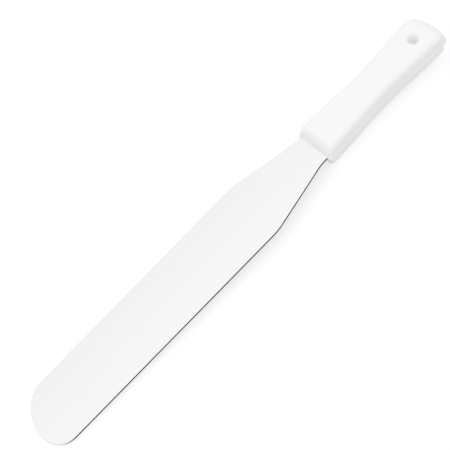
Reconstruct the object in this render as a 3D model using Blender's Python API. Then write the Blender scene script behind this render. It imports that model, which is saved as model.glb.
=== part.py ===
"""Icing spatula: a stainless steel blank, blade and hidden tang, in a one-piece moulded handle.

The spatula lies along X, with the blade's tip at -X and the hanging hole at +X. The blade is
level and Z is up. The origin is under the middle of the overall length, on the plane that
the handle's flat underside rests on. All sizes are in metres and all angles in radians.
"""
import math

import bmesh
import bpy

# Blade: a flat blank of even thickness, parallel sided, with a rounded tip and a tapered neck
BLADE_LENGTH = 0.305  # from the tip to the front of the handle
BLADE_WIDTH = 0.055
BLADE_THICKNESS = 0.002
BLADE_EDGE_BREAK = 0.00025  # the small round along every edge of the blank
TIP_DEPTH = 0.0228  # length of the rounded tip
TIP_FULLNESS = 2.1  # 2 makes the tip half an ellipse, more makes it squarer
TAPER_LENGTH = 0.0595  # from shoulder to neck
SHOULDER_RADIUS = 0.060
NECK_WIDTH = 0.029
NECK_RADIUS = 0.037
NECK_STRAIGHT = 0.0022  # parallel stretch of neck that shows in front of the handle

# Tang: the narrow end of the blank, moulded into the handle
TANG_WIDTH = 0.018
TANG_STEP_DEPTH = 0.009  # how far the full neck reaches into the handle
TANG_CORNER_RADIUS = 0.0025
TANG_END_WALL = 0.012  # plastic between the tang's end and the hanging hole
LOCK_HOLE_DIAMETER = 0.007
LOCK_HOLE_COUNT = 3

# Handle: widths across Y over the parting line, heights above and below the blade's middle plane
HANDLE_LENGTH = 0.131
FRONT_WIDTH = 0.0366
WAIST_WIDTH = 0.0313
SWELL_WIDTH = 0.0356
WAIST_FROM_FRONT = 0.064
HEIGHT_ABOVE = 0.010
HEIGHT_BELOW = 0.0125
TOP_EDGE_RADIUS = 0.0042
BOTTOM_EDGE_RADIUS = 0.0035
TOP_DRAFT = math.radians(4)  # slope of the sides above the parting line
BOTTOM_DRAFT = math.radians(4.5)
PARTING_HEIGHT = 0.0007  # how proud the low ridge along the parting line stands
PARTING_WIDTH = 0.0013  # half its width
NOSE_SETBACK = 0.0063  # how far the nose slopes back from the blade to the flat faces
NOSE_FULLNESS = 1.4  # 1 makes the nose a flat slope, 2 a quarter ellipse
NOSE_FOOT_SETBACK = 0.002  # the same below the blade
NOSE_FOOT_FULLNESS = 2.5
NOSE_CORNER_RADIUS = 0.003
BUTT_DEPTH = 0.009  # length of the rounded butt seen from above
BUTT_FULLNESS = 3.0
BUTT_ROUND_DEPTH = 0.009  # rounding of the butt's upper edge seen from the side
BUTT_ROUND_HEIGHT = 0.007
BUTT_FOOT_DEPTH = 0.003  # rounding of its lower edge
BUTT_FOOT_HEIGHT = 0.003

# Hanging hole
HANG_HOLE_DIAMETER = 0.008  # at its narrowest, in the blade's plane
HANG_HOLE_DRAFT = math.radians(1.5)  # slope of its wall, wider towards both mouths
HANG_HOLE_RIM = 0.0025  # round at both mouths
HANG_HOLE_FROM_BUTT = 0.020

# Fits
MOULD_GAP = 0.0003  # between steel and plastic, on every side
CUT_MARGIN = 0.004  # how far a cutter runs past the wall it cuts

# Fineness of the curves
ARC_STEPS = 6
TIP_STEPS = 14
SIDE_STEPS = 16
BUTT_STEPS = 9
LEVEL_STEPS = 8
PARTING_STEPS = 3
HOLE_SIDES = 32

# Places that follow from the sizes
BLADE_PLANE_Z = HEIGHT_BELOW
FRONT_X = BLADE_LENGTH - (BLADE_LENGTH + HANDLE_LENGTH) / 2
HANG_HOLE_X = FRONT_X + HANDLE_LENGTH - HANG_HOLE_FROM_BUTT
TANG_END_X = HANG_HOLE_X - HANG_HOLE_DIAMETER / 2 - TANG_END_WALL
TANG_STEP_X = FRONT_X + TANG_STEP_DEPTH

STEEL = ("satin_steel", (0.72, 0.72, 0.71), 0.32, 1.0)
PLASTIC = ("white_plastic", (0.90, 0.90, 0.89), 0.42, 0.0)


def clear_scene():
    """Removes every object, so that the file can be run again."""
    for item in list(bpy.data.objects):
        bpy.data.objects.remove(item, do_unlink=True)


def make_material(name, colour, roughness, metallic):
    """Returns a Principled material of one plain colour."""
    material = bpy.data.materials.new(name)
    material.use_nodes = True
    shader = material.node_tree.nodes["Principled BSDF"]
    shader.inputs["Base Color"].default_value = (*colour, 1.0)
    shader.inputs["Roughness"].default_value = roughness
    shader.inputs["Metallic"].default_value = metallic
    return material


def rounded_corner(before, corner, after, radius):
    """Returns the points of an arc that rounds one corner of an outline."""
    to_before = math.atan2(before[1] - corner[1], before[0] - corner[0])
    to_after = math.atan2(after[1] - corner[1], after[0] - corner[0])
    turn = (to_after - to_before + math.pi) % (2 * math.pi) - math.pi
    if radius <= 0 or abs(abs(turn) - math.pi) < 1e-9:
        return [corner]
    reach = radius / math.tan(abs(turn) / 2)
    middle = to_before + turn / 2
    distance = radius / math.sin(abs(turn) / 2)
    centre = (corner[0] + distance * math.cos(middle), corner[1] + distance * math.sin(middle))
    start = (corner[0] + reach * math.cos(to_before), corner[1] + reach * math.sin(to_before))
    first = math.atan2(start[1] - centre[1], start[0] - centre[0])
    sweep = math.copysign(math.pi - abs(turn), -turn)
    return [
        (
            centre[0] + radius * math.cos(first + sweep * step / ARC_STEPS),
            centre[1] + radius * math.sin(first + sweep * step / ARC_STEPS),
        )
        for step in range(ARC_STEPS + 1)
    ]


def rounded_path(corners):
    """Returns an open path through (x, y, radius) corners, each one rounded by its radius."""
    path = [corners[0][:2]]
    for before, corner, after in zip(corners, corners[1:], corners[2:]):
        path += rounded_corner(before, corner[:2], after, corner[2])
    return path + [corners[-1][:2]]


def neck_corner_x():
    """Returns where the taper and the neck would meet if the neck's round were left out."""
    slope = math.atan2((BLADE_WIDTH - NECK_WIDTH) / 2, TAPER_LENGTH)
    return FRONT_X - NECK_STRAIGHT - NECK_RADIUS * math.tan(slope / 2)


def tang_corners(grow):
    """Returns the corners of the tang's half outline inside the handle, grown on all sides."""
    radius = min(TANG_CORNER_RADIUS, (NECK_WIDTH - TANG_WIDTH) / 4)
    half_neck = NECK_WIDTH / 2 + grow
    half_tang = TANG_WIDTH / 2 + grow
    return [
        (TANG_STEP_X + grow, half_neck, radius + grow),
        (TANG_STEP_X + grow, half_tang, radius - grow),
        (TANG_END_X + grow, half_tang, radius + grow),
        (TANG_END_X + grow, 0.0, 0.0),
    ]


def mirrored(half):
    """Returns the closed outline of a half outline that starts and ends on the X axis."""
    return half + [(x, -y) for x, y in reversed(half[1:-1])]


def blank_outline():
    """Returns the steel blank's whole outline, from the tip round to the tang and back."""
    tip_x = FRONT_X - BLADE_LENGTH
    power = 2 / TIP_FULLNESS
    tip = []
    for step in range(TIP_STEPS + 1):
        angle = math.pi / 2 * step / TIP_STEPS
        across = BLADE_WIDTH / 2 * math.sin(angle) ** power
        tip.append((tip_x + TIP_DEPTH * (1 - max(math.cos(angle), 0.0) ** power), across))
    neck_x = neck_corner_x()
    corners = [
        (*tip[-1], 0.0),
        (neck_x - TAPER_LENGTH, BLADE_WIDTH / 2, SHOULDER_RADIUS),
        (neck_x, NECK_WIDTH / 2, NECK_RADIUS),
    ]
    return mirrored(tip[:-1] + rounded_path(corners + tang_corners(0.0)))


def pocket_outline():
    """Returns the outline of the room for the tang, open through the front of the handle."""
    front = (FRONT_X - CUT_MARGIN, NECK_WIDTH / 2 + MOULD_GAP, 0.0)
    return mirrored([(front[0], 0.0)] + rounded_path([front] + tang_corners(MOULD_GAP)))


def blend(start, end, share):
    """Eases from start to end as share goes from 0 to 1, level at both ends."""
    share = min(max(share, 0.0), 1.0)
    return start + (end - start) * share * share * (3 - 2 * share)


def handle_half_width(along):
    """Returns half the handle's width at a distance from its front, at its widest level."""
    if along < WAIST_FROM_FRONT:
        return blend(FRONT_WIDTH, WAIST_WIDTH, along / WAIST_FROM_FRONT) / 2
    rear = HANDLE_LENGTH - BUTT_DEPTH - WAIST_FROM_FRONT
    return blend(WAIST_WIDTH, SWELL_WIDTH, (along - WAIST_FROM_FRONT) / rear) / 2


def round_inset(level, height, depth, reach):
    """Returns how far an elliptical round of a depth and a reach draws a face in at a level."""
    reach = min(reach, height)
    rise = max(level - (height - reach), 0.0) / reach
    return depth * (1 - math.sqrt(max(1 - rise * rise, 0.0)))


def parting_inset(level):
    """Returns how far a face lies in from the crest of the parting line's ridge at a level."""
    return PARTING_HEIGHT * (1 - math.exp(-((level / PARTING_WIDTH) ** 2)))


def handle_outline(level, height, edge_radius, draft, nose_shape, butt_depth, butt_reach):
    """Returns the handle's outline at a level above or below the blade's middle plane."""
    slope = level * math.tan(draft) + parting_inset(level)
    side = round_inset(level, height, edge_radius, edge_radius) + slope
    butt = round_inset(level, height, butt_depth, butt_reach)
    lift = min(level / height, 1.0)
    setback, fullness = nose_shape
    nose = setback * (1 - (1 - lift ** fullness) ** (1 / fullness)) + parting_inset(level)
    corner = NOSE_CORNER_RADIUS
    end = HANDLE_LENGTH - butt - slope
    half = [(nose, 0.0)]
    corner_y = handle_half_width(nose + corner) - side - corner
    for step in range(ARC_STEPS + 1):
        angle = math.pi / 2 * step / ARC_STEPS
        half.append((nose + corner * (1 - math.cos(angle)), corner_y + corner * math.sin(angle)))
    first = nose + corner
    last = end - BUTT_DEPTH
    for step in range(1, SIDE_STEPS):
        along = first + (last - first) * step / SIDE_STEPS
        half.append((along, handle_half_width(along) - side))
    for step in range(BUTT_STEPS + 1):
        angle = math.pi / 2 * step / BUTT_STEPS
        out = math.sin(angle) ** (2 / BUTT_FULLNESS)
        across = max(math.cos(angle), 0.0) ** (2 / BUTT_FULLNESS)
        half.append((last + BUTT_DEPTH * out, (handle_half_width(last) - side) * across))
    half[-1] = (end, 0.0)
    return mirrored([(FRONT_X + along, across) for along, across in half])


def handle_levels():
    """Returns (z, outline) from the handle's underside to its top, closest near the faces and
    near the parting line."""
    foot, brow = (NOSE_FOOT_SETBACK, NOSE_FOOT_FULLNESS), (NOSE_SETBACK, NOSE_FULLNESS)
    below = (HEIGHT_BELOW, BOTTOM_EDGE_RADIUS, BOTTOM_DRAFT, foot, BUTT_FOOT_DEPTH, BUTT_FOOT_HEIGHT)
    above = (HEIGHT_ABOVE, TOP_EDGE_RADIUS, TOP_DRAFT, brow, BUTT_ROUND_DEPTH, BUTT_ROUND_HEIGHT)
    levels = [(BLADE_PLANE_Z, handle_outline(0.0, *above))]
    for sign, half in ((-1, below), (1, above)):
        height, reach = half[0], half[-1]
        heights = [PARTING_WIDTH * 2 * step / PARTING_STEPS for step in range(1, PARTING_STEPS + 1)]
        for step in range(LEVEL_STEPS + 1):
            heights.append(height - reach * (1 - math.sin(math.pi / 2 * step / LEVEL_STEPS)))
        for level in heights:
            levels.append((BLADE_PLANE_Z + sign * level, handle_outline(level, *half)))
    return sorted(levels, key=lambda item: item[0])


def finish_object(name, mesh_builder, material=None):
    """Turns a bmesh into an object, smooth but for its sharp edges, or into a hidden cutter."""
    bmesh.ops.recalc_face_normals(mesh_builder, faces=mesh_builder.faces)
    mesh = bpy.data.meshes.new(name)
    mesh_builder.to_mesh(mesh)
    mesh_builder.free()
    item = bpy.data.objects.new(name, mesh)
    bpy.context.scene.collection.objects.link(item)
    if material is None:
        item.hide_render = True
        item.display_type = "WIRE"
    else:
        mesh.materials.append(material)
        mesh.shade_smooth()
        mesh.set_sharp_from_angle(angle=math.radians(35))
    return item


def loft(name, levels, material=None):
    """Joins outlines of equal length, stacked by height, into one closed body."""
    builder = bmesh.new()
    loops = []
    for z, outline in levels:
        corners = [builder.verts.new((x, y, z)) for x, y in outline]
        pairs = zip(corners, corners[1:] + corners[:1])
        loops.append((corners, [builder.edges.new(pair) for pair in pairs]))
    for lower, upper in zip(loops, loops[1:]):
        bmesh.ops.bridge_loops(builder, edges=lower[1] + upper[1])
    builder.faces.new(loops[0][0])
    builder.faces.new(loops[-1][0])
    return finish_object(name, builder, material)


def plate(name, outline, middle_z, thickness, material=None):
    """Makes a flat plate of one outline and thickness."""
    low, high = middle_z - thickness / 2, middle_z + thickness / 2
    return loft(name, [(low, outline), (high, outline)], material)


def pins(name, centres, radius, wall):
    """Makes a cutter of upright pins that runs past both faces of a wall in the blade's plane."""
    builder = bmesh.new()
    for x in centres:
        made = bmesh.ops.create_cone(
            builder,
            cap_ends=True,
            segments=HOLE_SIDES,
            radius1=radius,
            radius2=radius,
            depth=wall + 2 * CUT_MARGIN,
        )
        bmesh.ops.translate(builder, verts=made["verts"], vec=(x, 0.0, BLADE_PLANE_Z))
    return finish_object(name, builder)


def hang_hole_cutter():
    """Makes the turned cutter of the hanging hole, with a round at both mouths."""
    waist, rim = HANG_HOLE_DIAMETER / 2, HANG_HOLE_RIM
    wall = [(waist, 0.0)]
    for sign, height in ((-1, HEIGHT_BELOW), (1, HEIGHT_ABOVE)):
        mouth = waist + (height - rim) * math.tan(HANG_HOLE_DRAFT)
        for step in range(ARC_STEPS + 1):
            angle = math.pi / 2 * step / ARC_STEPS
            level = height - rim * (1 - math.sin(angle))
            wall.append((mouth + rim * (1 - math.cos(angle)), sign * level))
        wall.append((mouth + rim, sign * (height + CUT_MARGIN)))
    levels = []
    for reach, level in sorted(wall, key=lambda item: item[1]):
        turn = [2 * math.pi * side / HOLE_SIDES for side in range(HOLE_SIDES)]
        ring = [(HANG_HOLE_X + reach * math.cos(a), reach * math.sin(a)) for a in turn]
        levels.append((BLADE_PLANE_Z + level, ring))
    return loft("cutter_hang_hole", levels)


def cut(item, cutter):
    """Subtracts a cutter from an object."""
    boolean = item.modifiers.new(cutter.name, "BOOLEAN")
    boolean.operation = "DIFFERENCE"
    boolean.solver = "EXACT"
    boolean.object = cutter


def lock_hole_places():
    """Returns the X places of the locking holes, spread evenly along the tang."""
    pitch = (TANG_END_X - TANG_STEP_X) / LOCK_HOLE_COUNT
    return [TANG_STEP_X + pitch * (index + 0.5) for index in range(LOCK_HOLE_COUNT)]


def make_blade():
    """Makes the blank: blade, neck and tang in one, with the tang's locking holes."""
    blade = plate(
        "blade", blank_outline(), BLADE_PLANE_Z, BLADE_THICKNESS, make_material(*STEEL)
    )
    edges = blade.modifiers.new("edge_break", "BEVEL")
    edges.width = BLADE_EDGE_BREAK
    edges.segments = 2
    edges.limit_method = "ANGLE"
    edges.angle_limit = math.radians(60)
    hole_radius = LOCK_HOLE_DIAMETER / 2
    cut(blade, pins("cutter_lock_holes", lock_hole_places(), hole_radius, BLADE_THICKNESS))


def make_handle():
    """Makes the handle, moulded round the tang, with its plugs in the locking holes."""
    handle = loft("handle", handle_levels(), make_material(*PLASTIC))
    pocket_height = BLADE_THICKNESS + 2 * MOULD_GAP
    pocket = plate("cutter_pocket", pocket_outline(), BLADE_PLANE_Z, pocket_height)
    plug_radius = LOCK_HOLE_DIAMETER / 2 - MOULD_GAP
    cut(pocket, pins("cutter_plugs", lock_hole_places(), plug_radius, pocket_height))
    cut(handle, pocket)
    cut(handle, hang_hole_cutter())


clear_scene()
make_blade()
make_handle()
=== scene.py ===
"""Icing spatula: the finished surfaces of its blade and handle, and the table they are seen on.

The blade lies level along X, its tip at -X, and Z is up. Lengths are in metres.
"""
import math

import bpy
import numpy as np
from bpy.props import FloatProperty, FloatVectorProperty, IntProperty, PointerProperty
from mathutils import Matrix, Vector


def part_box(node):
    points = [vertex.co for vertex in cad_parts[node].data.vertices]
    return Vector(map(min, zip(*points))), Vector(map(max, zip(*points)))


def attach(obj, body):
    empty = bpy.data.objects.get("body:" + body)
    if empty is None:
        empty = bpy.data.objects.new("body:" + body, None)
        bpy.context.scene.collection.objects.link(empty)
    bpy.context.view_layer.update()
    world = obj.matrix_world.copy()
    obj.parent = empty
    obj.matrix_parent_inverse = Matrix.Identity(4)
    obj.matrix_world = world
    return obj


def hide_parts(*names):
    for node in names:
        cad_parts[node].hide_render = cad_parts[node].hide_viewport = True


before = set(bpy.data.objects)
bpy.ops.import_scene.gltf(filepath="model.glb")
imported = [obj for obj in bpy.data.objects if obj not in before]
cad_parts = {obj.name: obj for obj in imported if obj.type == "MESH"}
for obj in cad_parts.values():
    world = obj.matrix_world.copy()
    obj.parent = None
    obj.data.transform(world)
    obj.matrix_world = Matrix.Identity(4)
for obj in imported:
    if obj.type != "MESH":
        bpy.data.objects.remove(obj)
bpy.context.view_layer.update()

BLADE_LOW, BLADE_HIGH = (np.array(corner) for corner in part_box("blade"))
HANDLE_LOW, HANDLE_HIGH = (np.array(corner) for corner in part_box("handle"))
BLADE_PLANE = float(BLADE_LOW[2] + BLADE_HIGH[2]) / 2

# How finely the surfaces are divided.
RUN_STEP = 0.003  # between points on the straight runs of the blank
ARC_STEPS = 12  # on each rounded corner of the blank
PIN_SIDES = 64
TIP_POINTS = 49
BLADE_EDGE_STEPS = 5
NOSE_POINTS = 15  # across half of the nose
NOSE_CORNER_POINTS = 17
SIDE_POINTS = 161
BUTT_POINTS = 49
SEAM_LEVELS = 7
WALL_LEVELS = 14
EDGE_LEVELS = 25
FACE_LOOPS = 13  # from a flat face's edge to the hanging hole's rim, both counted
RIM_LEVELS = 13
BORE_LEVELS = 25

SEAM_REACH = 2.5  # levels stay close up to this many half widths of the ridge
LOCK_HOLES = 3  # in the tang
FLOOR_CLEARANCE = 0.00005
SENSOR_WIDTH = 36.0  # in millimetres, as the focal length is
NEAREST_SEEN = 0.01

# Noise blobs in a metre, along each axis.
GROUND_LINES = (25.0, 3800.0, 3800.0)
GROUND_BANDS = (9.0, 620.0, 620.0)
STEEL_CLOUD = (75.0, 110.0, 110.0)
ORANGE_PEEL = (260.0, 260.0, 260.0)
SPARK_GRAIN = (4200.0, 4200.0, 4200.0)
PLASTIC_CLOUD = (120.0, 120.0, 120.0)

bl_info = {
    "name": "Icing spatula",
    "version": (1, 0, 0),
    "blender": (4, 5, 0),
    "location": "View3D > Sidebar > Spatula",
    "description": "Builds an icing spatula with a satin steel blade and a moulded handle",
    "category": "Add Mesh",
}


def length(name, description, default):
    """A property that holds one length."""
    return FloatProperty(
        name=name, description=description, default=default, unit="LENGTH", precision=5
    )


def number(name, description, default):
    """A property that holds one plain number."""
    return FloatProperty(name=name, description=description, default=default, precision=4)


def angle(name, description, degrees):
    """A property that holds one angle."""
    return FloatProperty(
        name=name, description=description, default=math.radians(degrees), subtype="ANGLE"
    )


def colour(name, description, default):
    """A property that holds one linear colour."""
    return FloatVectorProperty(
        name=name, description=description, default=default, subtype="COLOR", min=0.0, max=1.0
    )


class BladeSizes(bpy.types.PropertyGroup):
    """Sizes of the steel blank: blade, neck and tang."""

    width: length("Width", "Width of the blade", float(BLADE_HIGH[1] - BLADE_LOW[1]))
    thickness: length("Thickness", "Thickness of the steel", float(BLADE_HIGH[2] - BLADE_LOW[2]))
    edge_round: length("Edge round", "Radius along every edge", 0.00015)
    tip_depth: length("Tip depth", "Length of the rounded tip", 0.0228)
    tip_fullness: number("Tip fullness", "2 is half an ellipse, more is squarer", 2.1)
    taper: length("Taper", "Length from shoulder to neck", 0.0595)
    shoulder_radius: length("Shoulder radius", "Round between side and taper", 0.060)
    neck_width: length("Neck width", "Width where the blade meets the handle", 0.029)
    neck_radius: length("Neck radius", "Round between taper and neck", 0.037)
    neck_straight: length("Neck straight", "Straight neck before the handle", 0.0022)
    tang_width: length("Tang width", "Width of the tang", 0.018)
    tang_step: length("Tang step", "Reach of the full neck into the handle", 0.009)
    tang_round: length("Tang round", "Radius of the tang's corners", 0.0025)
    lock_hole: length("Locking hole", "Diameter of the holes in the tang", 0.007)


class HandleSizes(bpy.types.PropertyGroup):
    """Sizes of the moulded handle."""

    span: length("Length", "Length from nose to butt", 0.131)
    front_width: length("Front width", "Width behind the nose", 0.0366)
    waist_width: length("Waist width", "Width at the waist", 0.0313)
    swell_width: length("Swell width", "Width near the butt", 0.0356)
    waist: length("Waist", "Distance from the nose to the waist", 0.064)
    top_round: length("Top round", "Radius of the upper edges", 0.0042)
    bottom_round: length("Bottom round", "Radius of the lower edges", 0.0035)
    nose_setback: length("Nose setback", "How far the nose slopes back above the blade", 0.0063)
    nose_fullness: number("Nose fullness", "1 is a flat slope, 2 a quarter ellipse", 1.4)
    nose_foot: length("Nose foot", "How far the nose slopes back below the blade", 0.002)
    foot_fullness: number("Foot fullness", "The same, below the blade", 2.5)
    nose_corner: length("Nose corner", "Radius of the nose's corners", 0.003)
    butt_depth: length("Butt depth", "Length of the rounded butt from above", 0.009)
    butt_fullness: number("Butt fullness", "2 is half an ellipse, more is squarer", 3.0)
    butt_round: length("Butt round", "Rounding of the butt's upper edge", 0.009)
    butt_reach: length("Butt reach", "Height of the butt's upper rounding", 0.007)
    foot_round: length("Foot round", "Rounding of the butt's lower edge", 0.003)
    foot_reach: length("Foot reach", "Height of the butt's lower rounding", 0.003)
    hole: length("Hanging hole", "Diameter at its narrowest, in the blade's plane", 0.008)
    hole_draft: angle("Hole draft", "Slope of the hole's wall towards both mouths", 1.5)
    hole_rim: length("Hole rim", "Round at both mouths of the hole", 0.0025)
    hole_from_butt: length("Hole from butt", "Hole's centre to the butt", 0.020)
    seam_height: length("Seam height", "How proud the parting line's ridge stands", 0.0007)
    seam_width: length("Seam width", "Half the width of that ridge", 0.0013)
    top_draft: angle("Top draft", "Slope of the sides above the parting line", 4.0)
    bottom_draft: angle("Bottom draft", "Slope of the sides below the parting line", 4.5)
    fit: length("Fit", "Room left round the steel", 0.00004)
    plug_gap: length("Plug gap", "Room left round the plugs in the tang's holes", 0.0003)


class Finish(bpy.types.PropertyGroup):
    """Colours, gloss and grain of both finishes."""

    steel: colour("Steel", "Ground faces of the blade", (0.60, 0.60, 0.60))
    # Painted shade: a near-black colour on the blade's side walls, standing in for the shadowed
    # floor that the edge reflects.
    edge_painted_shade: colour("Steel edge", "Sheared edge of the blade", (0.012, 0.012, 0.013))
    plastic: colour("Plastic", "Handle", (0.93, 0.93, 0.93))
    # Painted light: the hole's wall is paler, standing in for light that comes through the
    # plastic.
    hole_painted_light: colour("Plastic in the hole", "Wall of the hanging hole", (0.99, 0.99, 0.99))
    steel_rough: number("Steel roughness", "Least roughness of the ground faces", 0.27)
    edge_rough: number("Edge roughness", "Roughness of the sheared edge", 0.55)
    # The edge's finish is painted shade with a rougher gloss; this depth fades both out.
    edge_fade: length("Edge fade", "Depth over which the edge's finish fades out", 0.00002)
    grind_depth: length("Grind depth", "Depth of the ground lines", 0.000003)
    plastic_rough: number("Plastic roughness", "Least roughness of the handle", 0.36)
    plastic_gloss: number("Plastic gloss", "Specular level of the handle", 0.3)
    grain_depth: length("Grain depth", "Depth of the handle's grain", 0.000004)


class Stage(bpy.types.PropertyGroup):
    """Camera, floor and lights."""

    aim_x: length("Aim X", "Place of the picture's middle along the blade", -0.00363)
    aim_y: length("Aim Y", "Place of the picture's middle across the blade", 0.00859)
    distance: length("Distance", "Camera to aim", 0.43655)
    azimuth: angle("Azimuth", "Turn of the camera from looking along +Y", 0.459)
    elevation: angle("Elevation", "Camera above the horizon", 61.443)
    roll: angle("Roll", "Turn of the picture", 45.170)
    focal_length: number("Focal length", "Millimetres on a 36 mm sensor", 44.660)
    floor_reach: length("Floor", "Half the floor's side", 3.0)
    floor_grey: number("Floor grey", "Colour that the floor lights the spatula with", 0.9)
    floor_lit: number("Floor lit", "Part of the floor's look that takes light and shadow", 0.42)
    floor_white: number("Floor white", "Part of the floor's look that is plain white", 0.62)
    sky: number("Sky", "Brightness of the surroundings", 0.70)
    softbox_length: length("Softbox length", "Overhead softbox, along the spatula", 2.6)
    softbox_width: length("Softbox width", "Overhead softbox, across the spatula", 1.2)
    softbox_height: length("Softbox height", "Softbox above the floor", 0.9)
    softbox_left: length("Softbox left", "Softbox's middle, towards the blade's tip", 0.25)
    softbox_back: length("Softbox back", "Softbox's middle, behind the spatula", 0.15)
    softbox_power: number("Softbox power", "Watts", 6.0)
    bounces: IntProperty(
        name="Bounces", description="How often light may bounce in the pale hole", default=32
    )


class Spatula(bpy.types.PropertyGroup):
    """All settings of the spatula and its stage."""

    blade: PointerProperty(type=BladeSizes)
    handle: PointerProperty(type=HandleSizes)
    finish: PointerProperty(type=Finish)
    stage: PointerProperty(type=Stage)


def unit(vectors):
    """Vectors divided by their own length."""
    return vectors / np.linalg.norm(vectors, axis=-1, keepdims=True)


def quarter_turn(points):
    """Evenly spaced angles from 0 to a right angle."""
    return np.linspace(0.0, math.pi / 2, points)


def front_x(handle):
    """X of the handle's nose at the blade's level."""
    return float(HANDLE_HIGH[0]) - handle.span


def straight(start, end):
    """Points strictly between two others, evenly spaced and no further apart than a step."""
    count = max(math.ceil(np.linalg.norm(end - start) / RUN_STEP), 1)
    return start + (end - start) * np.arange(1, count)[:, None] / count


def corner_arc(before, corner, after, radius):
    """The arc that rounds a corner: it touches both legs, and its centre lies on the corner's
    bisector at the radius divided by the sine of half the corner's angle."""
    to_before, to_after = unit(before - corner), unit(after - corner)
    half = math.acos(float(to_before @ to_after)) / 2
    centre = corner + unit(to_before + to_after) * radius / math.sin(half)
    first = corner + to_before * radius / math.tan(half) - centre
    side = np.sign(to_before[0] * to_after[1] - to_before[1] * to_after[0])
    turn = -side * np.linspace(0.0, math.pi - 2 * half, ARC_STEPS + 1)
    across = np.array([-first[1], first[0]])
    return centre + np.cos(turn)[:, None] * first + np.sin(turn)[:, None] * across


def rounded_path(corners):
    """An open path through (x, y, radius) corners, with evenly spaced points on its runs."""
    places = np.array([corner[:2] for corner in corners])
    arcs = [places[:1]]
    for index in range(1, len(corners) - 1):
        arcs.append(corner_arc(*places[index - 1 : index + 2], corners[index][2]))
    arcs.append(places[-1:])
    path = [arcs[0]]
    for arc, following in zip(arcs, arcs[1:]):
        path += [straight(arc[-1], following[0]), following]
    return np.concatenate(path)


def mirrored(half):
    """A closed outline from its half at positive Y, which starts and ends on the X axis."""
    return np.concatenate([half, half[-2:0:-1] * (1.0, -1.0)])


def tang_corners(blade, handle, grow):
    """Corners of the tang's half outline inside the handle, moved outwards by a distance."""
    step_x = front_x(handle) + blade.tang_step + grow
    end_x = BLADE_HIGH[0] + grow
    half_neck, half_tang = blade.neck_width / 2 + grow, blade.tang_width / 2 + grow
    return [
        (step_x, half_neck, blade.tang_round + grow),
        (step_x, half_tang, blade.tang_round - grow),
        (end_x, half_tang, blade.tang_round + grow),
        (end_x, 0.0, 0.0),
    ]


def blade_outline(blade, handle):
    """The blank's outline. The tip is a superellipse: the distance back from the tip goes with
    1 - cos(t) to the power 2 / fullness, the half width with sin(t) to the same power."""
    t = quarter_turn(TIP_POINTS)
    power = 2 / blade.tip_fullness
    back = blade.tip_depth * (1 - np.clip(np.cos(t), 0, 1) ** power)
    tip = np.stack([BLADE_LOW[0] + back, blade.width / 2 * np.sin(t) ** power], axis=1)
    slope = math.atan2((blade.width - blade.neck_width) / 2, blade.taper)
    neck_x = front_x(handle) - blade.neck_straight - blade.neck_radius * math.tan(slope / 2)
    corners = [
        (*tip[-1], 0.0),
        (neck_x - blade.taper, blade.width / 2, blade.shoulder_radius),
        (neck_x, blade.neck_width / 2, blade.neck_radius),
    ]
    path = rounded_path(corners + tang_corners(blade, handle, 0.0))
    return mirrored(np.concatenate([tip[:-1], path]))


def band_faces(rows, columns, closed):
    """Quads between neighbouring rows of points whose columns run all the way round. With
    closed rows, the last row joins the first."""
    row = np.arange(rows if closed else rows - 1)[:, None] * columns
    above = (row + columns) % (rows * columns)
    column = np.arange(columns)[None, :]
    beside = (column + 1) % columns
    corners = [row + column, row + beside, above + beside, above + column]
    return np.stack(corners, axis=-1).reshape(-1, 4)


def make_piece(name, points, faces, caps=()):
    """A closed mesh object of smooth quads and flat end faces, turned to face outwards."""
    mesh = bpy.data.meshes.new(name)
    ends = [list(map(int, cap)) for cap in caps]
    mesh.from_pydata(points.reshape(-1, 3).tolist(), [], faces.tolist() + ends)
    smooth = np.arange(len(mesh.polygons)) < len(faces)
    mesh.polygons.foreach_set("use_smooth", smooth)
    mesh.validate()
    if signed_volume(mesh) < 0:
        mesh.flip_normals()
    piece = bpy.data.objects.new(name, mesh)
    bpy.context.scene.collection.objects.link(piece)
    return piece


def signed_volume(mesh):
    """Volume inside a closed mesh: a sixth of the sum of each triangle's triple product. It is
    negative when the faces point inwards."""
    mesh.calc_loop_triangles()
    corners = np.empty(len(mesh.vertices) * 3)
    mesh.vertices.foreach_get("co", corners)
    index = np.empty(len(mesh.loop_triangles) * 3, dtype=np.int32)
    mesh.loop_triangles.foreach_get("vertices", index)
    a, b, c = np.moveaxis(corners.reshape(-1, 3)[index.reshape(-1, 3)], 1, 0)
    return float(np.einsum("ij,ij->", a, np.cross(b, c))) / 6


def rimmed_plate(name, outline, low, high, edge_round=0.0, steps=0):
    """A flat plate. Its rim is a surface of two parameters, the place along the outline and the
    turn over the edge: the outline is drawn in along its own normal by r(1 - sin t) while the
    height changes by r(1 - cos t), then mirrored for the lower edge."""
    ahead = unit(np.roll(outline, -1, axis=0) - outline)
    along = unit(ahead + np.roll(ahead, 1, axis=0))
    outward = np.stack([along[:, 1], -along[:, 0]], axis=1)
    if np.sum(outward * (outline - outline.mean(axis=0))) < 0:
        outward = -outward
    turn = quarter_turn(steps + 1)
    inset = edge_round * (1 - np.sin(turn))
    drop = edge_round * (1 - np.cos(turn))
    insets = np.concatenate([inset, inset[::-1]])
    heights = np.concatenate([high - drop, (low + drop)[::-1]])
    flat = outline[None] - outward[None] * insets[:, None, None]
    upright = np.broadcast_to(heights[:, None, None], flat.shape[:2] + (1,))
    points = np.concatenate([flat, upright], axis=2)
    rows, columns = flat.shape[:2]
    ring = np.arange(columns)
    caps = (ring[::-1], ring + (rows - 1) * columns)
    return make_piece(name, points, band_faces(rows, columns, False), caps)


def upright_pin(name, centre_x, radius, low, high):
    """An upright pin with square ends: a ring at one radius, carried from low to high."""
    turn = np.arange(PIN_SIDES) * 2 * math.pi / PIN_SIDES
    ring = np.stack([centre_x + radius * np.cos(turn), radius * np.sin(turn)], axis=1)
    return rimmed_plate(name, ring, low, high)


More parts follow.
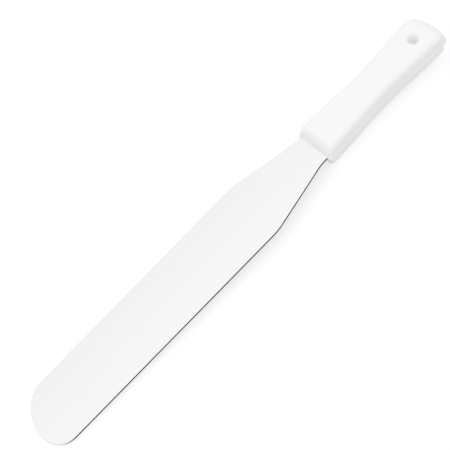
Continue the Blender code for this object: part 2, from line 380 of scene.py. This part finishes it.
def carve(piece, cutter):
    """Cuts a closed piece out of another for good, and removes the cutter."""
    tool = piece.modifiers.new("carve", "BOOLEAN")
    tool.operation = "DIFFERENCE"
    tool.solver = "EXACT"
    tool.object = cutter
    evaluated = piece.evaluated_get(bpy.context.evaluated_depsgraph_get())
    carved = bpy.data.meshes.new_from_object(evaluated)
    piece.modifiers.clear()
    whole, piece.data = piece.data, carved
    bpy.data.meshes.remove(whole)
    bpy.data.meshes.remove(cutter.data)


def lock_hole_places(blade, handle):
    """X places of the tang's locking holes, spread evenly between its step and its end."""
    start = front_x(handle) + blade.tang_step
    pitch = (BLADE_HIGH[0] - start) / LOCK_HOLES
    return [float(start + pitch * (index + 0.5)) for index in range(LOCK_HOLES)]


def build_blade(blade, handle):
    """The steel blank with its locking holes."""
    low, high = BLADE_PLANE - blade.thickness / 2, BLADE_PLANE + blade.thickness / 2
    outline = blade_outline(blade, handle)
    piece = rimmed_plate("blade_blank", outline, low, high, blade.edge_round, BLADE_EDGE_STEPS)
    radius, margin = blade.lock_hole / 2, blade.thickness
    for place in lock_hole_places(blade, handle):
        carve(piece, upright_pin("hole", place, radius, low - margin, high + margin))
    return piece


def ease(start, end, share):
    """A smooth step from start to end: share squared times (3 - 2 share)."""
    share = np.clip(share, 0.0, 1.0)
    return start + (end - start) * share * share * (3 - 2 * share)


def half_width(handle, along):
    """Half the handle's width at a distance from its nose: one smooth step down from the front
    to the waist, and one up from the waist to the swell."""
    rear = handle.span - handle.butt_depth - handle.waist
    fore = ease(handle.front_width, handle.waist_width, along / handle.waist)
    aft = ease(handle.waist_width, handle.swell_width, (along - handle.waist) / rear)
    return np.where(along < handle.waist, fore, aft) / 2


def round_inset(level, height, depth, reach):
    """How far an elliptical round draws a side in: depth times 1 - sqrt(1 - rise squared), rise
    being the share of the round's reach that the level has climbed."""
    rise = np.clip((level - (height - reach)) / reach, 0.0, 1.0)
    return depth * (1 - np.sqrt(1 - rise * rise))


def handle_loops(handle, level, height, edge_round, draft, slant, butt_round, butt_reach):
    """Outlines of the handle at levels above or below the blade's plane, one row each. The nose
    lies back by its slant's depth times 1 - (1 - lift^n)^(1/n), lift being the share of the
    height that the level has climbed and n the slant's fullness. Its corners are quarter circles,
    the sides follow half_width, and the butt is a superellipse seen from above. Sides and butt
    lie in by the level times the draft's tangent, and by a round at the flat face. Away from the
    parting line everything lies further in by the line's height, times 1 - exp(-u squared), u
    being the level divided by the line's half width."""
    level = level[:, None]
    lift = np.clip(level / height, 0.0, 1.0)
    seam = handle.seam_height * (1 - np.exp(-((level / handle.seam_width) ** 2)))
    slope = level * math.tan(draft) + seam
    side = round_inset(level, height, edge_round, edge_round) + slope
    butt = round_inset(level, height, butt_round, butt_reach)
    setback, n = slant
    nose = setback * (1 - (1 - lift**n) ** (1 / n)) + seam
    end = handle.span - butt - slope
    corner = handle.nose_corner
    corner_y = half_width(handle, nose + corner) - side - corner
    across = np.linspace(0.0, 1.0, NOSE_POINTS)[None, :-1]
    turn = quarter_turn(NOSE_CORNER_POINTS)[None, :]
    share = np.linspace(0.0, 1.0, SIDE_POINTS)[None, 1:-1]
    butt_turn = quarter_turn(BUTT_POINTS)[None, :]
    last = end - handle.butt_depth
    along_side = nose + corner + (last - nose - corner) * share
    power = 2 / handle.butt_fullness
    butt_out = handle.butt_depth * np.sin(butt_turn) ** power
    butt_across = np.clip(np.cos(butt_turn), 0.0, 1.0) ** power
    butt_across[:, -1] = 0.0
    x = np.concatenate(
        [
            nose + 0 * across,
            nose + corner * (1 - np.cos(turn)),
            along_side,
            last + butt_out,
        ],
        axis=1,
    )
    y = np.concatenate(
        [
            corner_y * across,
            corner_y + corner * np.sin(turn),
            half_width(handle, along_side) - side,
            (half_width(handle, last) - side) * butt_across,
        ],
        axis=1,
    )
    far_x, far_y = x[:, -2:0:-1], -y[:, -2:0:-1]
    return np.concatenate([x, far_x], axis=1), np.concatenate([y, far_y], axis=1)


def side_levels(handle, height, edge_round):
    """Levels from the parting line to a flat face: close on the seam, then even, then by the
    sine of the turn over the edge, which ends level with the face."""
    seam = np.linspace(0.0, SEAM_REACH * handle.seam_width, SEAM_LEVELS)
    wall = np.linspace(seam[-1], height - edge_round, WALL_LEVELS)[1:]
    edge = height - edge_round * (1 - np.sin(quarter_turn(EDGE_LEVELS)))[1:]
    return np.concatenate([seam, wall, edge])


def bore_profile(handle, up, down):
    """Radii and levels of the hanging hole from the top face to the underside. Its wall is
    narrowest in the blade's plane and widens by its draft, and each mouth turns out over a
    quarter circle: r(1 - sin t) outwards and r(1 - cos t) in from the face."""
    rim = handle.hole_rim
    slope = math.tan(handle.hole_draft)
    turn = quarter_turn(RIM_LEVELS)
    flare, sink = rim * (1 - np.sin(turn)), rim * (1 - np.cos(turn))
    wall = np.linspace(up - rim, rim - down, BORE_LEVELS)[1:-1]
    waist = handle.hole / 2
    top, bottom = waist + (up - rim) * slope, waist + (down - rim) * slope
    radii = [top + flare, waist + np.abs(wall) * slope, (bottom + flare)[::-1]]
    levels = [up - sink, wall, (sink - down)[::-1]]
    return np.concatenate(radii), np.concatenate(levels)


def face_loops(edge_x, edge_y, hole_x, reach):
    """Loops on a flat face, evenly blended from its edge to the hanging hole's rim. Each point
    moves to the point of the rim that lies in its own direction from the hole."""
    aim = np.arctan2(edge_y, edge_x - hole_x)
    rim_x, rim_y = hole_x + reach * np.cos(aim), reach * np.sin(aim)
    share = np.linspace(0.0, 1.0, FACE_LOOPS)[1:-1, None]
    return edge_x + (rim_x - edge_x) * share, edge_y + (rim_y - edge_y) * share


def build_handle(handle, blade):
    """The handle as one closed surface of two parameters. One goes round its outline, the other
    up the side, in over the top face, down the hanging hole's wall and out under the bottom."""
    up = HANDLE_HIGH[2] - BLADE_PLANE
    down = BLADE_PLANE - HANDLE_LOW[2]
    upper = side_levels(handle, up, handle.top_round)
    lower = side_levels(handle, down, handle.bottom_round)[1:]
    brow = (handle.nose_setback, handle.nose_fullness)
    foot = (handle.nose_foot, handle.foot_fullness)
    butt_above = (handle.butt_round, handle.butt_reach)
    butt_below = (handle.foot_round, handle.foot_reach)
    above = (up, handle.top_round, handle.top_draft, brow, *butt_above)
    below = (down, handle.bottom_round, handle.bottom_draft, foot, *butt_below)
    upper_x, upper_y = handle_loops(handle, upper, *above)
    lower_x, lower_y = handle_loops(handle, lower, *below)
    hole_x = handle.span - handle.hole_from_butt
    bore, bore_z = bore_profile(handle, up, down)
    top_x, top_y = face_loops(upper_x[-1:], upper_y[-1:], hole_x, bore[0])
    bottom_x, bottom_y = face_loops(lower_x[-1:], lower_y[-1:], hole_x, bore[-1])
    aim = np.arctan2(upper_y[-1], upper_x[-1] - hole_x)
    bore_x = hole_x + bore[:, None] * np.cos(aim)
    bore_y = bore[:, None] * np.sin(aim)
    x = np.concatenate([upper_x, top_x, bore_x, bottom_x[::-1], lower_x[::-1]])
    y = np.concatenate([upper_y, top_y, bore_y, bottom_y[::-1], lower_y[::-1]])
    flat = np.ones(len(top_x))
    z = np.concatenate([upper, up * flat, bore_z, -down * flat, -lower[::-1]])
    z = np.broadcast_to(z[:, None], x.shape)
    points = np.stack([front_x(handle) + x, y, BLADE_PLANE + z], axis=-1)
    piece = make_piece("handle_grip", points, band_faces(*x.shape, True))
    carve(piece, build_pocket(handle, blade))
    return piece


def build_pocket(handle, blade):
    """Cutter for the tang's room in the handle, with plugs left standing in the tang's holes."""
    front = front_x(handle) - 2 * blade.neck_straight
    low = BLADE_PLANE - blade.thickness / 2 - handle.fit
    high = BLADE_PLANE + blade.thickness / 2 + handle.fit
    start = (front, blade.neck_width / 2 + handle.fit, 0.0)
    half = rounded_path([start] + tang_corners(blade, handle, handle.fit))
    outline = mirrored(np.concatenate([[[front, 0.0]], half]))
    pocket = rimmed_plate("pocket", outline, low, high)
    radius, margin = blade.lock_hole / 2 - handle.plug_gap, blade.thickness
    for place in lock_hole_places(blade, handle):
        carve(pocket, upright_pin("plug", place, radius, low - margin, high + margin))
    return pocket


class Wire:
    """A number, colour or vector on its way through a node tree. Sums, differences and products
    of numbers add Math nodes."""

    def __init__(self, graph, socket):
        self.graph = graph
        self.socket = socket

    def math(self, operation, first, second):
        """Adds one Math node."""
        inputs = {0: first, 1: second}
        return self.graph.add("ShaderNodeMath", {"operation": operation}, inputs)

    def __add__(self, other):
        return self.math("ADD", self, other)

    __radd__ = __add__

    def __sub__(self, other):
        return self.math("SUBTRACT", self, other)

    def __rsub__(self, other):
        return self.math("SUBTRACT", other, self)

    def __mul__(self, other):
        return self.math("MULTIPLY", self, other)

    __rmul__ = __mul__

    def __abs__(self):
        return self.graph.add("ShaderNodeMath", {"operation": "ABSOLUTE"}, {0: self})


class Graph:
    """The node tree of one material or world."""

    def __init__(self, tree):
        self.tree = tree
        tree.nodes.clear()

    def add(self, kind, settings=None, inputs=None, output=0):
        """Adds a node: first its settings, then the values or links of its sockets. Returns
        the output that is asked for, or None for a node that ends the tree."""
        node = self.tree.nodes.new(kind)
        for name, value in (settings or {}).items():
            setattr(node, name, value)
        for name, value in (inputs or {}).items():
            if isinstance(value, Wire):
                self.tree.links.new(value.socket, node.inputs[name])
            else:
                node.inputs[name].default_value = value
        return Wire(self, node.outputs[output]) if node.outputs else None

    def place(self, stretch=(1.0, 1.0, 1.0)):
        """The object's own coordinates, each axis multiplied."""
        source = self.add("ShaderNodeTexCoord", output="Object")
        inputs = {0: source, 1: stretch}
        return self.add("ShaderNodeVectorMath", {"operation": "MULTIPLY"}, inputs)

    def axis(self, vector, name):
        """One axis of a vector."""
        return self.add("ShaderNodeSeparateXYZ", None, {0: vector}, name)

    def noise(self, blobs, detail=2.0):
        """Smooth noise about 0.5, with so many blobs in a metre along each axis."""
        inputs = {"Vector": self.place(blobs), "Scale": 1.0, "Detail": detail}
        return self.add("ShaderNodeTexNoise", None, inputs)

    def step(self, value, low, high):
        """A smooth step from 0 at low to 1 at high."""
        settings = {"interpolation_type": "SMOOTHSTEP"}
        inputs = {"Value": value, "From Min": low, "From Max": high}
        return self.add("ShaderNodeMapRange", settings, inputs)

    def mix(self, share, first, second):
        """A colour between two others. A Mix node's colours are its sockets 6 and 7, and its
        output 2."""
        inputs = {0: share, 6: first, 7: second}
        return self.add("ShaderNodeMix", {"data_type": "RGBA"}, inputs, 2)

    def shade(self, tint, factor):
        """A plain colour multiplied by a number that varies."""
        settings = {"operation": "SCALE"}
        return self.add("ShaderNodeVectorMath", settings, {0: tint, "Scale": factor})

    def bump(self, height, depth):
        """A normal that follows a height, of which 1 is so many metres."""
        return self.add("ShaderNodeBump", None, {"Height": height, "Distance": depth})

    def surface(self, inputs):
        """Ends a material with a Principled shader."""
        shader = self.add("ShaderNodeBsdfPrincipled", None, inputs)
        self.add("ShaderNodeOutputMaterial", None, {"Surface": shader})


def steel_finish(finish, blade):
    """Satin steel, ground along the blade, with painted shade on its sheared edge: a near-black
    colour standing in for the shadowed floor that the edge reflects. The painted shade and the
    edge's rougher gloss reach from the middle plane almost to both flat faces."""
    material = bpy.data.materials.new("satin_steel")
    material.use_nodes = True
    graph = Graph(material.node_tree)
    lines = graph.noise(GROUND_LINES, detail=3.0)
    bands = graph.noise(GROUND_BANDS)
    cloud = graph.noise(STEEL_CLOUD, detail=3.0)
    height = graph.axis(graph.place(), "Z")
    half, fade = blade.thickness / 2, finish.edge_fade
    # Mask of the blade's side walls, which carry the painted shade and the rougher gloss.
    edge = 1 - graph.step(abs(height - BLADE_PLANE), half - fade, half - fade / 10)
    # Noise averages 0.5, so the tone averages 1.
    tone = 0.96 + 0.03 * lines + 0.02 * bands + 0.03 * cloud
    face = graph.shade(tuple(finish.steel), tone)
    rough = finish.steel_rough + 0.06 * lines + 0.04 * cloud
    graph.surface(
        {
            "Base Color": graph.mix(edge, face, (*finish.edge_painted_shade, 1.0)),
            "Metallic": 1.0,
            "Roughness": rough + (finish.edge_rough - rough) * edge,
            "Normal": graph.bump(lines + 0.5 * bands, finish.grind_depth),
        }
    )
    return material


def plastic_finish(finish, handle):
    """White moulded plastic: a faint orange peel under a fine spark-eroded grain. The hole's
    wall is painted paler: painted light standing in for light that comes through the plastic."""
    material = bpy.data.materials.new("white_plastic")
    material.use_nodes = True
    graph = Graph(material.node_tree)
    peel = graph.noise(ORANGE_PEEL)
    grain = graph.noise(SPARK_GRAIN)
    cloud = graph.noise(PLASTIC_CLOUD, detail=3.0)
    # Noise averages 0.5, so the tone averages 1.
    tone = 0.985 + 0.018 * cloud + 0.012 * peel
    hole_x = float(HANDLE_HIGH[0]) - handle.hole_from_butt
    along = graph.axis(graph.place(), "X") - hole_x
    across = graph.axis(graph.place(), "Y")
    wall, mouth = handle.hole / 2, handle.hole / 2 + handle.hole_rim
    # Painted light: 0 within the hole's narrowest radius, where the paler colour is painted,
    # rising to 1 at the outside of its rounded mouths.
    outside = graph.step(along * along + across * across, wall**2, mouth**2)
    face = graph.shade(tuple(finish.plastic), tone)
    graph.surface(
        {
            "Base Color": graph.mix(outside, (*finish.hole_painted_light, 1.0), face),
            "Metallic": 0.0,
            "Roughness": finish.plastic_rough + 0.08 * grain + 0.06 * cloud,
            "Normal": graph.bump(4.0 * peel + grain, finish.grain_depth),
            "Specular IOR Level": finish.plastic_gloss,
        }
    )
    return material


def build_floor(stage, handle):
    """A flat floor that the spatula rests on. It slopes, because the spatula tips onto its blade:
    it touches the handle's lower front edge and the underside of the blade's tip."""
    pivot = front_x(handle) + handle.nose_foot
    slope = float(BLADE_LOW[2] - HANDLE_LOW[2]) / (float(BLADE_LOW[0]) - pivot)
    side = np.array([-1.0, 1.0]) * stage.floor_reach
    x, y = np.meshgrid(side, side, indexing="ij")
    z = float(HANDLE_LOW[2]) + slope * (x - pivot) - FLOOR_CLEARANCE
    points = np.stack([x, y, z], axis=-1).reshape(-1, 3)
    mesh = bpy.data.meshes.new("floor")
    mesh.from_pydata(points.tolist(), [], [(0, 2, 3, 1)])
    floor = bpy.data.objects.new("floor", mesh)
    bpy.context.scene.collection.objects.link(floor)
    mesh.materials.append(floor_finish(stage))
    return floor


def seen_directly(graph):
    """1 for rays from the camera and for mirror and glass rays, 0 for diffuse light."""
    rays = ("Is Camera Ray", "Is Glossy Ray", "Is Transmission Ray")
    camera, glossy, through = (graph.add("ShaderNodeLightPath", output=ray) for ray in rays)
    either = camera.math("MAXIMUM", camera, glossy)
    return either.math("MAXIMUM", either, through)


def floor_finish(stage):
    """Pale floor. It is seen as white with a soft shadow, and lights the spatula as a plain grey
    surface does."""
    material = bpy.data.materials.new("floor")
    material.use_nodes = True
    graph = Graph(material.node_tree)
    grey = (stage.floor_grey,) * 3 + (1.0,)
    lit = (stage.floor_lit,) * 3 + (1.0,)
    white = {"Color": (1.0, 1.0, 1.0, 1.0), "Strength": stage.floor_white}
    plain = graph.add("ShaderNodeBsdfDiffuse", None, {"Color": grey})
    shadowed = graph.add("ShaderNodeBsdfDiffuse", None, {"Color": lit})
    glow = graph.add("ShaderNodeEmission", None, white)
    seen = graph.add("ShaderNodeAddShader", None, {0: shadowed, 1: glow})
    inputs = {0: seen_directly(graph), 1: plain, 2: seen}
    shader = graph.add("ShaderNodeMixShader", None, inputs)
    graph.add("ShaderNodeOutputMaterial", None, {"Surface": shader})
    return material


def build_world(stage):
    """Even surroundings: white where they are seen, a little dimmer as a light."""
    world = bpy.data.worlds.new("surroundings")
    world.use_nodes = True
    graph = Graph(world.node_tree)
    strength = stage.sky + (1 - stage.sky) * seen_directly(graph)
    inputs = {"Color": (1.0, 1.0, 1.0, 1.0), "Strength": strength}
    background = graph.add("ShaderNodeBackground", None, inputs)
    graph.add("ShaderNodeOutputWorld", None, {"Surface": background})
    bpy.context.scene.world = world


def build_softbox(stage):
    """A large level softbox overhead, a little behind the spatula and towards its tip."""
    lamp = bpy.data.lights.new("softbox", "AREA")
    lamp.shape = "RECTANGLE"
    lamp.size = stage.softbox_length
    lamp.size_y = stage.softbox_width
    lamp.energy = stage.softbox_power
    holder = bpy.data.objects.new("softbox", lamp)
    holder.location = (-stage.softbox_left, stage.softbox_back, stage.softbox_height)
    bpy.context.scene.collection.objects.link(holder)


def build_camera(stage):
    """The camera, placed by its aim, distance, azimuth, elevation and roll."""
    turn, rise = stage.azimuth, stage.elevation
    forward = Vector(
        (math.sin(turn) * math.cos(rise), math.cos(turn) * math.cos(rise), -math.sin(rise))
    )
    level = Vector((math.cos(turn), -math.sin(turn), 0.0))
    upright = level.cross(forward)
    right = math.cos(stage.roll) * level - math.sin(stage.roll) * upright
    up = math.cos(stage.roll) * upright + math.sin(stage.roll) * level
    aim = Vector((stage.aim_x, stage.aim_y, BLADE_PLANE))
    lens = bpy.data.cameras.new("camera")
    lens.sensor_width = SENSOR_WIDTH
    lens.lens = stage.focal_length
    lens.clip_start = NEAREST_SEEN
    camera = bpy.data.objects.new("camera", lens)
    pose = Matrix((right, up, -forward)).transposed().to_4x4()
    pose.translation = aim - forward * stage.distance
    camera.matrix_world = pose
    bpy.context.scene.collection.objects.link(camera)
    bpy.context.scene.camera = camera


def settle(piece, node, material):
    """Gives a finished piece its material and body, and hides the CAD node that it replaces."""
    piece.data.materials.clear()
    piece.data.materials.append(material)
    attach(piece, "root")
    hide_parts(node)


class SPATULA_OT_blade(bpy.types.Operator):
    """Build the steel blade with its neck and tang"""

    bl_idname = "spatula.blade"
    bl_label = "Build blade"

    def execute(self, context):
        spatula = context.scene.spatula
        piece = build_blade(spatula.blade, spatula.handle)
        settle(piece, "blade", steel_finish(spatula.finish, spatula.blade))
        return {"FINISHED"}


class SPATULA_OT_handle(bpy.types.Operator):
    """Build the moulded handle"""

    bl_idname = "spatula.handle"
    bl_label = "Build handle"

    def execute(self, context):
        spatula = context.scene.spatula
        piece = build_handle(spatula.handle, spatula.blade)
        settle(piece, "handle", plastic_finish(spatula.finish, spatula.handle))
        return {"FINISHED"}


class SPATULA_OT_stage(bpy.types.Operator):
    """Build the floor, the lights and the camera"""

    bl_idname = "spatula.stage"
    bl_label = "Build stage"

    def execute(self, context):
        spatula = context.scene.spatula
        build_floor(spatula.stage, spatula.handle)
        build_world(spatula.stage)
        build_softbox(spatula.stage)
        build_camera(spatula.stage)
        context.scene.cycles.max_bounces = spatula.stage.bounces
        context.scene.cycles.diffuse_bounces = spatula.stage.bounces
        context.scene.view_settings.view_transform = "Standard"
        return {"FINISHED"}


class SPATULA_PT_panel(bpy.types.Panel):
    """Lists the operators in the sidebar"""

    bl_label = "Icing spatula"
    bl_idname = "SPATULA_PT_panel"
    bl_space_type = "VIEW_3D"
    bl_region_type = "UI"
    bl_category = "Spatula"

    def draw(self, context):
        for operator in OPERATORS:
            self.layout.operator(operator.bl_idname)


OPERATORS = (SPATULA_OT_blade, SPATULA_OT_handle, SPATULA_OT_stage)
CLASSES = (BladeSizes, HandleSizes, Finish, Stage, Spatula, *OPERATORS, SPATULA_PT_panel)


def register():
    """Registers the classes and the scene's settings."""
    for item in CLASSES:
        bpy.utils.register_class(item)
    bpy.types.Scene.spatula = PointerProperty(type=Spatula)


def unregister():
    """Undoes register."""
    del bpy.types.Scene.spatula
    for item in reversed(CLASSES):
        bpy.utils.unregister_class(item)


def main():
    register()
    bpy.ops.spatula.blade()
    bpy.ops.spatula.handle()
    bpy.ops.spatula.stage()


if __name__ == "__main__":
    main()
